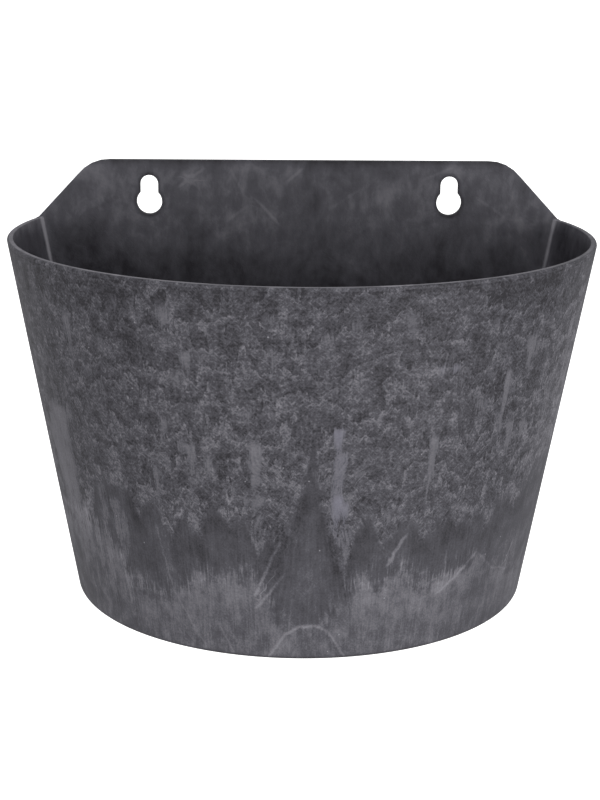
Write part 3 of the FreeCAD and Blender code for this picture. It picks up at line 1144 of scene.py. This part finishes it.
    def outer_loops(self, radius: Array, height: Array, depth: Array) -> Array:
        """The outside's closed loops, one for each row of its profile.

        A point of the arc is (r sin t, -axis - r cos t), with t running from one cut to the
        other. The sides run straight to the wall, and the back's columns keep their share of
        the loop's half width.

        Args:
            radius: The rows' radii.
            height: The rows' heights.
            depth: The rows' groove depths, which fade out at the ends of the arc.

        Returns:
            Rows by columns by 3.
        """
        to_plate = self.axis_to_wall - self.wall
        turn = np.linspace(-1, 1, self.arc_columns + 1)
        fade = smooth_step(1.0, self.witness_end, np.abs(turn))
        angle = turn * np.arccos(-to_plate / radius)[:, None]
        drawn = radius[:, None] - depth[:, None] * fade
        arc_x, arc_y = self.arc(drawn, angle)
        half = np.sqrt(radius ** 2 - to_plate ** 2)[:, None]
        step = np.arange(1, self.side_columns + 1) / self.side_columns
        side_y = -self.wall * (1 - step) * np.ones_like(half)
        share = self.plate_columns() / self.rim_top_half()
        back_x = share * half
        x = np.hstack([arc_x, half * np.ones_like(step), back_x, -half * np.ones_like(step)])
        y = np.hstack([arc_y, side_y, np.zeros_like(back_x), side_y[:, ::-1]])
        return np.stack([x, y, height[:, None] * np.ones_like(x)], -1)

    def rim_top_half(self) -> float:
        """Half the width of the rim's flat top at the plate."""
        radius, _, _ = self.outer_profile()
        return float(np.sqrt(radius[-1] ** 2 - (self.axis_to_wall - self.wall) ** 2))

    def well_loops(self, inset: float | Array, corner: float | Array, height: float | Array) -> Array:
        """Closed loops with rounded back corners, in step with the outside's columns.

        The arc keeps its distance from the outside and the back its distance from the wall,
        and a part circle that touches both joins them.

        Args:
            inset: That distance, for all rows or for each.
            corner: The radius of the rounded corners.
            height: The rows' heights.

        Returns:
            Rows by columns by 3.
        """
        rows = np.broadcast_arrays(*np.atleast_1d(inset, corner, height))
        inset, corner, height = (row[:, None].astype(float) for row in rows)
        radius = self.radius(height) - inset
        deep = self.axis_to_wall - inset - corner
        corner_x = np.sqrt((radius - corner) ** 2 - deep ** 2)
        end = np.arctan2(corner_x, -deep)
        angle = np.linspace(-1, 1, self.arc_columns + 1) * end
        arc_x, arc_y = self.arc(radius, angle)
        step = np.arange(1, self.side_columns + 1) / (self.side_columns + 1)
        turn = end + (math.pi - end) * step
        side_x = corner_x + corner * np.sin(turn)
        side_y = -inset - corner - corner * np.cos(turn)
        spread = self.plate_columns() / self.corner_x(self.rim_height)
        back_x = corner_x * np.clip(spread, -1, 1)
        x = np.hstack([arc_x, side_x, back_x, -side_x[:, ::-1]])
        y = np.hstack([arc_y, side_y, -inset * np.ones_like(back_x), side_y[:, ::-1]])
        return np.stack([x, y, height * np.ones_like(x)], -1)

    def drain_loops(self, radius: list[float], height: list[float]) -> Array:
        """Circles round the drain, with each point in the direction of its floor column.

        Args:
            radius: The circles' radii.
            height: Their heights.

        Returns:
            Rows by columns by 3.
        """
        middle = np.array([0, self.drain_y, 0])
        outline = self.well_loops(self.wall + self.floor_fillet, self.corner_radius - self.floor_fillet,
                                  self.floor_top)[0]
        rings = middle + np.asarray(radius)[:, None, None] * level_directions(outline, middle)
        rings[..., 2] = np.asarray(height)[:, None]
        return rings

    def outside(self) -> Array:
        """The grid from the drain's lower edge over the underside and up to the rim's top.

        Returns:
            Rows by columns by 3.
        """
        lip, ring = self.soft_edge, self.ring_width
        sag = self.edge_sag * lip
        drain = self.drain_loops([self.bore_radius, self.bore_radius + sag, self.bore_radius + lip],
                                 [self.recess + lip, self.recess + sag, self.recess])
        hollow = self.well_loops([ring, ring, ring, ring - lip], self.ring_corner,
                                 [self.recess, self.recess * 0.5, lip, 0])
        share = np.linspace(0, 1, self.ceiling_rows + 2)[1:-1, None, None]
        ceiling = drain[-1] + (hollow[0] - drain[-1]) * share
        radius, height, depth = self.outer_profile()
        wall = self.outer_loops(radius, height, depth)
        share = np.array(self.ring_face_shares)[:, None, None]
        ring_face = hollow[-1] + (wall[0] - hollow[-1]) * share
        return np.concatenate([drain, ceiling, hollow, ring_face, wall])

    def inside(self) -> Array:
        """The grid from the rim's inner edge down the inside to the drain's lower edge.

        The rim's soft edge fades out round the back corners, where the plate stands.

        Returns:
            Rows by columns by 3.
        """
        top = self.rim_height
        turn = quarter_turn(self.edge_rows)[:, None]
        edge = self.well_loops(self.wall, self.corner_radius, top)[0]
        arc, side = self.arc_columns + 1, self.side_columns
        soft = np.zeros(len(edge))
        soft[:arc] = self.soft_edge
        fade = self.soft_edge * (1 - np.arange(1, side + 1) / (side + 1))
        soft[arc:arc + side], soft[-side:] = fade, fade[::-1]
        away = level_directions(edge, np.array([0, -self.axis_to_wall, top]))
        rounded = edge + away * (soft * (1 - np.sin(turn)))[..., None]
        rounded[..., 2] = top - soft * (1 - np.cos(turn))
        fillet = self.floor_fillet
        height = np.linspace(top, self.floor_top + fillet, self.inner_rows + 1)[1:]
        wall = self.well_loops(self.wall, self.corner_radius, height)
        bend = quarter_turn(self.cove_rows + 1)[1:]
        drawn = fillet * (1 - np.cos(bend))
        cove = self.well_loops(self.wall + drawn, self.corner_radius - drawn,
                               self.floor_top + fillet * (1 - np.sin(bend)))
        lip, low, high = self.soft_edge, self.floor_top, self.collar_top
        sag, wide, bore = self.edge_sag * self.soft_edge, self.collar_radius, self.bore_radius
        collar = self.drain_loops(
            [wide + lip, wide, wide, wide - sag, wide - lip, bore + lip, bore + sag, bore, bore],
            [low, low + lip, high - lip, high - sag, high, high, high - sag, high - lip, self.recess + lip])
        share = np.linspace(0, 1, self.floor_rows + 2)[1:-1, None, None]
        floor = cove[-1] + (collar[0] - cove[-1]) * share
        return np.concatenate([rounded, wall, cove, floor, collar])

    def rim_top(self, outer: Array, inner: Array) -> Array:
        """The rim's flat top, from the plate's left end round the front to its right end.

        Each line crosses the rim by way of a point in front of the plate's end, so that the
        last ones turn round that end.

        Args:
            outer: The outside's last loop.
            inner: The inside's first loop.

        Returns:
            Rows by columns by 3.
        """
        arc, side, legs = self.arc_columns + 1, self.side_columns, self.corner_columns
        order = np.r_[len(outer) - side:len(outer), 0:arc + side]
        start, end = outer[order], inner[order]
        way = start + self.rim_step * (end - start)
        near = np.array([self.plate_foot_x, -self.wall, self.rim_height])
        last = way[-side - 1].copy()
        share = (np.arange(1, side + 1) / (side + 1))[:, None]
        way[-side:] = last + (near - last) * share
        mirror = np.array([-1, 1, 1])
        way[:side] = (last + (near - last) * share)[::-1] * mirror
        leg = np.linspace(0, 1, legs + 1)[:, None, None]
        lines = np.concatenate([start[None], way + (end - way) * leg])
        foot = np.column_stack([self.plate_columns()[:legs + 1], np.full(legs + 1, -self.wall),
                                np.full(legs + 1, self.rim_height)])
        close = np.concatenate([[near + [0, self.wall, 0]], foot])[:, None]
        return np.hstack([close * mirror, lines, close])

    def plate_outline(self) -> tuple[Array, Array, Array]:
        """The plate's top outline over its columns: straight top, round shoulder, slope.

        Returns:
            The points in (x, z), their outward directions, and the softening radius there.
        """
        base = self.plate_columns()
        run, rise = self.plate_foot_x - self.plate_corner_x, self.plate_top - self.rim_height
        turn = math.atan2(rise, run)
        back = self.shoulder_radius * math.tan(turn / 2)
        straight = self.plate_straight_x
        lengths = np.array([self.plate_corner_x - back - straight, self.shoulder_radius * turn,
                            math.hypot(run, rise) - back])
        along = np.clip((np.abs(base) - straight) / (self.plate_foot_x - straight), 0, 1) * lengths.sum()
        bend = np.clip((along - lengths[0]) / self.shoulder_radius, 0, turn)
        after = np.clip(along - lengths[0] - lengths[1], 0, None)
        x = np.where(along > 0, straight + np.minimum(along, lengths[0]), np.abs(base))
        x = x + self.shoulder_radius * np.sin(bend) + after * math.cos(turn)
        z = self.plate_top - self.shoulder_radius * (1 - np.cos(bend)) - after * math.sin(turn)
        side = np.sign(base)
        soft = self.soft_edge * smooth_step(0, self.plate_end, self.plate_foot_x - np.abs(base))
        away = np.stack([side * np.sin(bend), np.cos(bend)], -1)
        return np.stack([side * x, z], -1), away, soft

    def plate(self) -> tuple[Array, Array]:
        """The plate's back and front faces, and the soft edge over its top.

        A column climbs in a straight line from the rim to the outline, and a quarter circle
        turns it over the edge.

        Returns:
            The back face with the edge over the top, and the front face; rows by columns by 3.
        """
        outline, away, soft = self.plate_outline()
        base = np.stack([self.plate_columns(), np.full(len(outline), self.rim_height)], -1)
        inner = outline - away * soft[:, None]
        share = np.linspace(0, 1, self.plate_rows + 1)[:, None, None]
        flat = base + (inner - base) * share
        turn = quarter_turn(self.edge_rows + 1)[1:, None]
        bent = inner + away * (soft * np.sin(turn))[..., None]
        sunk = soft * (1 - np.cos(turn))

        def placed(face: Array, y: Array) -> Array:
            """Put a face's (x, z) points at a depth."""
            return np.stack([face[..., 0], np.broadcast_to(y, face.shape[:2]), face[..., 1]], -1)

        back = placed(flat, np.zeros(1))
        over = np.concatenate([placed(bent, -sunk), placed(bent, -self.wall + sunk)[::-1],
                               placed(flat[-1:], np.full(1, -self.wall))])
        front = placed(flat, np.full(1, -self.wall))
        return np.concatenate([back, over]), front

    def keyhole_reach(self, angle: Array, grow: float) -> Array:
        """How far a keyhole's outline lies from its middle in a direction.

        It is the farther of two crossings of a ray: with the round of the head, and with the
        slot's sides or its round top.

        Args:
            angle: The ray's direction in the plate's plane.
            grow: How much wider the outline is than the hole.

        Returns:
            The distance of the outline.
        """
        x, z = np.cos(angle), np.sin(angle)
        middle = self.keyhole_middle()

        def circle(height: float, radius: float) -> Array:
            """Where the ray leaves a circle on the keyhole's middle line."""
            below = middle - height
            return -z * below + np.sqrt(np.maximum((z * below) ** 2 + radius ** 2 - below ** 2, 0))

        head = circle(self.head_height, self.head_radius + grow)
        slot = self.slot_radius + grow
        end = self.head_height + self.slot_rise
        side = slot / np.maximum(np.abs(x), 1e-6)
        rises = middle + side * z
        slotted = np.where(rises > end, circle(end, slot), np.where(z > 0, side, 0))
        return np.maximum(head, slotted)

    def keyhole_middle(self) -> float:
        """The height that a keyhole's rays start from."""
        return self.head_height + self.slot_rise / 3

    def keyhole(self, side: Side, back: Array, front: Array, first: int) -> Patch:
        """One keyhole's faces: rings round it on both sides of the plate, and its wall.

        A point of the window's border is joined in a straight line to the outline's point in
        the same direction, and a quarter circle turns it into the hole.

        Args:
            side: The keyhole's side.
            back: The plate's back face.
            front: The plate's front face.
            first: The window's first column.

        Returns:
            One patch, closed round the hole.
        """
        rows, columns = self.window_rows, self.window_columns
        low = [(0, first + i) for i in range(columns)]
        left = [(j, first + columns) for j in range(rows)]
        high = [(rows, first + columns - i) for i in range(columns)]
        right = [(rows - j, first) for j in range(rows)]
        border = tuple(np.array(low + left + high + right).T)
        middle = np.array([side.value * self.keyhole_x, self.keyhole_middle()])
        offset = back[border][:, [0, 2]] - middle
        angle = np.arctan2(offset[:, 1], offset[:, 0])
        neck_rise = math.sqrt(self.head_radius ** 2 - self.slot_radius ** 2)
        neck_z = self.head_height + neck_rise - self.keyhole_middle()
        for neck in (math.atan2(neck_z, self.slot_radius), math.atan2(neck_z, -self.slot_radius)):
            angle[np.argmin(np.abs(angle - neck))] = neck
        ray = np.stack([np.cos(angle), np.sin(angle)], -1)

        def ring(grow: float, y: float) -> Array:
            """The outline, made wider, at a depth."""
            flat = middle + ray * self.keyhole_reach(angle, grow)[:, None]
            return np.column_stack([flat[:, 0], np.full(len(flat), y), flat[:, 1]])

        turn = quarter_turn(self.edge_rows)
        soft = self.soft_edge
        wider, sunk = soft * (1 - np.sin(turn)), soft * (1 - np.cos(turn))
        into = [ring(*row) for row in zip(wider, -sunk)]
        out = [ring(*row) for row in zip(wider[::-1], sunk[::-1] - self.wall)]
        share = np.linspace(0, 1, self.ring_rows + 1)[:, None, None]
        before = back[border] + (into[0] - back[border]) * share[:-1]
        after = out[-1] + (front[border] - out[-1]) * share[1:]
        return grid_patch(np.concatenate([before, np.array(into + out), after]), True)

    def patches(self) -> list[Patch]:
        """All faces of the shell, with a window left out of the plate round each keyhole.

        Returns:
            The patches, whose edges meet point to point.
        """
        outside, inside = self.outside(), self.inside()
        back, front = self.plate()
        flat, over = back[:self.plate_rows + 1], back[self.plate_rows:]
        rows, columns = self.window_rows, self.window_columns
        window_x = [side.value * self.keyhole_x + self.window_half for side in Side]
        starts = [int(np.argmin(np.abs(self.plate_columns() - x))) for x in window_x]
        made = [grid_patch(outside, True), grid_patch(inside, True),
                grid_patch(self.rim_top(outside[-1], inside[0])), grid_patch(over)]
        for face in (flat, front):
            points, quads = grid_patch(face)
            row, column = np.divmod(np.arange(len(quads)), face.shape[1] - 1)
            kept = np.ones(len(quads), bool)
            for start in starts:
                kept &= ~((row < rows) & (column >= start) & (column < start + columns))
            made.append((points, quads[kept]))
        for side, start in zip(Side, starts):
            made.append(self.keyhole(side, flat, front, start))
        return made

    def build(self) -> bpy.types.Object:
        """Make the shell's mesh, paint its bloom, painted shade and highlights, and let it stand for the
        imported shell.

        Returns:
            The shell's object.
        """
        made = mesh_from_patches(self.name, self.patches(), self.crease_degrees)
        points = np.empty(len(made.data.vertices) * 3, np.float32)
        made.data.vertices.foreach_get("co", points)
        points = points.reshape(-1, 3).astype(float) / MM
        for name, values in BloomAndPaintedLight(self).paint(points).items():
            layer = made.data.attributes.new(name, "FLOAT_COLOR", "POINT")
            layer.data.foreach_set("color", values.astype(np.float32).ravel())
        made.data.materials.append(StoneCompound().make())
        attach(made, Body.VASE.value)
        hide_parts(Node.SHELL.value)
        return made


@dataclass(frozen=True)
class Lamp:
    """A soft square lamp that faces the planter, placed in metres."""

    name: str
    place: Triple
    size: float
    power: float

    def hang(self, target: Vector) -> None:
        """Hang the lamp and turn it to the target.

        Args:
            target: The place that it faces.
        """
        data = bpy.data.lights.new(self.name, "AREA")
        data.shape, data.size, data.energy = "SQUARE", self.size, self.power
        made = put_in_scene(self.name, data)
        made.location = self.place
        made.rotation_euler = (target - Vector(self.place)).to_track_quat("-Z", "Y").to_euler()


@dataclass
class Studio:
    """A plain white room, soft lamps, and the camera at the photograph's angle.

    The camera's and the room's places are in millimetres, its turns in radians, and the lamps
    and what they face in metres. The floor lies far below, as the planter hangs.
    """

    aim: Triple = (-0.49, -60.0, 102.41)
    distance: float = 916.48
    elevation: float = 0.25823
    yaw: float = -0.031584
    roll: float = 0.0096004
    lens: float = 76.187
    sensor: float = 36.0
    clip: Pair = (0.01, 100.0)
    floor_height: float = -1250.0
    floor_half: float = 6000.0
    screen_y: float = 1900.0
    screen_top: float = 3000.0
    floor_white: Colour = (0.9, 0.9, 0.9, 1.0)
    floor_roughness: float = 0.9
    room_light: float = 0.42
    lit_place: Triple = (0.0, -0.08, 0.12)
    lamps: tuple[Lamp, ...] = (
        Lamp("front_left", (-1.1, -2.0, 0.1), 1.6, 10.0),
        Lamp("front_right", (1.6, -1.8, 0.1), 1.6, 18.0),
        Lamp("above", (0.0, -1.0, 1.9), 1.4, 10.0),
    )

    def camera(self) -> None:
        """Place the camera: it looks at the aim from a distance, slightly rolled."""
        back = Vector((math.sin(self.yaw) * math.cos(self.elevation),
                       -math.cos(self.yaw) * math.cos(self.elevation), math.sin(self.elevation)))
        right = Vector((math.cos(self.yaw), math.sin(self.yaw), 0))
        up = back.cross(right)
        turned_right = math.cos(self.roll) * right + math.sin(self.roll) * up
        turned_up = -math.sin(self.roll) * right + math.cos(self.roll) * up
        place = (Vector(self.aim) + back * self.distance) * MM
        data = bpy.data.cameras.new("camera")
        data.lens, data.sensor_width = self.lens, self.sensor
        data.clip_start, data.clip_end = self.clip
        made = put_in_scene("camera", data)
        axes = Matrix((turned_right, turned_up, back)).transposed()
        made.matrix_world = Matrix.Translation(place) @ axes.to_4x4()
        bpy.context.scene.camera = made

    def sheet(self, name: str, corners: list[Triple], **values: object) -> bpy.types.Object:
        """Stand a plain white sheet, which isn't part of the object.

        Args:
            name: The sheet's name.
            corners: Its four corners in millimetres.
            **values: Settings of its finish, by the input's name with underscores for spaces.

        Returns:
            The sheet.
        """
        mesh = bpy.data.meshes.new(name)
        mesh.from_pydata([tuple(MM * value for value in corner) for corner in corners], [], [(0, 1, 2, 3)])
        made = put_in_scene(name, mesh)
        paper = bpy.data.materials.new(name + "_paper")
        paper.use_nodes = True
        for key, value in values.items():
            paper.node_tree.nodes["Principled BSDF"].inputs[key.replace("_", " ")].default_value = value
        mesh.materials.append(paper)
        return made

    def build(self) -> None:
        """Make the room, the light and the camera."""
        half, low, back, top = self.floor_half, self.floor_height, self.screen_y, self.screen_top
        floor = [(-half, -half, low), (half, -half, low), (half, half, low), (-half, half, low)]
        self.sheet("studio_floor", floor, Base_Color=self.floor_white, Roughness=self.floor_roughness)
        upright = [(-half, back, low), (half, back, low), (half, back, top), (-half, back, top)]
        screen = self.sheet("studio_screen", upright, Emission_Color=(1.0, 1.0, 1.0, 1.0),
                            Emission_Strength=1.0)
        screen.visible_glossy = False
        screen.visible_diffuse = False
        world = bpy.data.worlds.new("white_room")
        world.use_nodes = True
        room = world.node_tree.nodes["Background"]
        room.inputs["Color"].default_value = (1, 1, 1, 1)
        room.inputs["Strength"].default_value = self.room_light
        bpy.context.scene.world = world
        bpy.context.scene.view_settings.view_transform = "Standard"
        for lamp in self.lamps:
            lamp.hang(Vector(self.lit_place))
        self.camera()


def main() -> None:
    """Build and dress every piece in order."""
    logging.basicConfig(level=logging.INFO, format="%(name)s: %(message)s")
    PlanterShell().build()
    insert = MouldedPlastic("polypropylene_spark_eroded", dark="262628", dusty="6b6a68", grain=0.8,
                            flow=22.0, smooth=0.48, rough=0.7, dust_share=0.55)
    plug = MouldedPlastic("polyethylene_satin", dark="2c2c2f", dusty="55555a", grain=0.5, flow=9.0,
                          smooth=0.36, rough=0.55, dust_share=0.3)
    for node, finish in ((Node.INSERT, insert), (Node.PLUG, plug), (Node.RING, SealRubber())):
        CarriedNode(node, finish).dress()
    Studio().build()


if __name__ == "__main__":
    main()
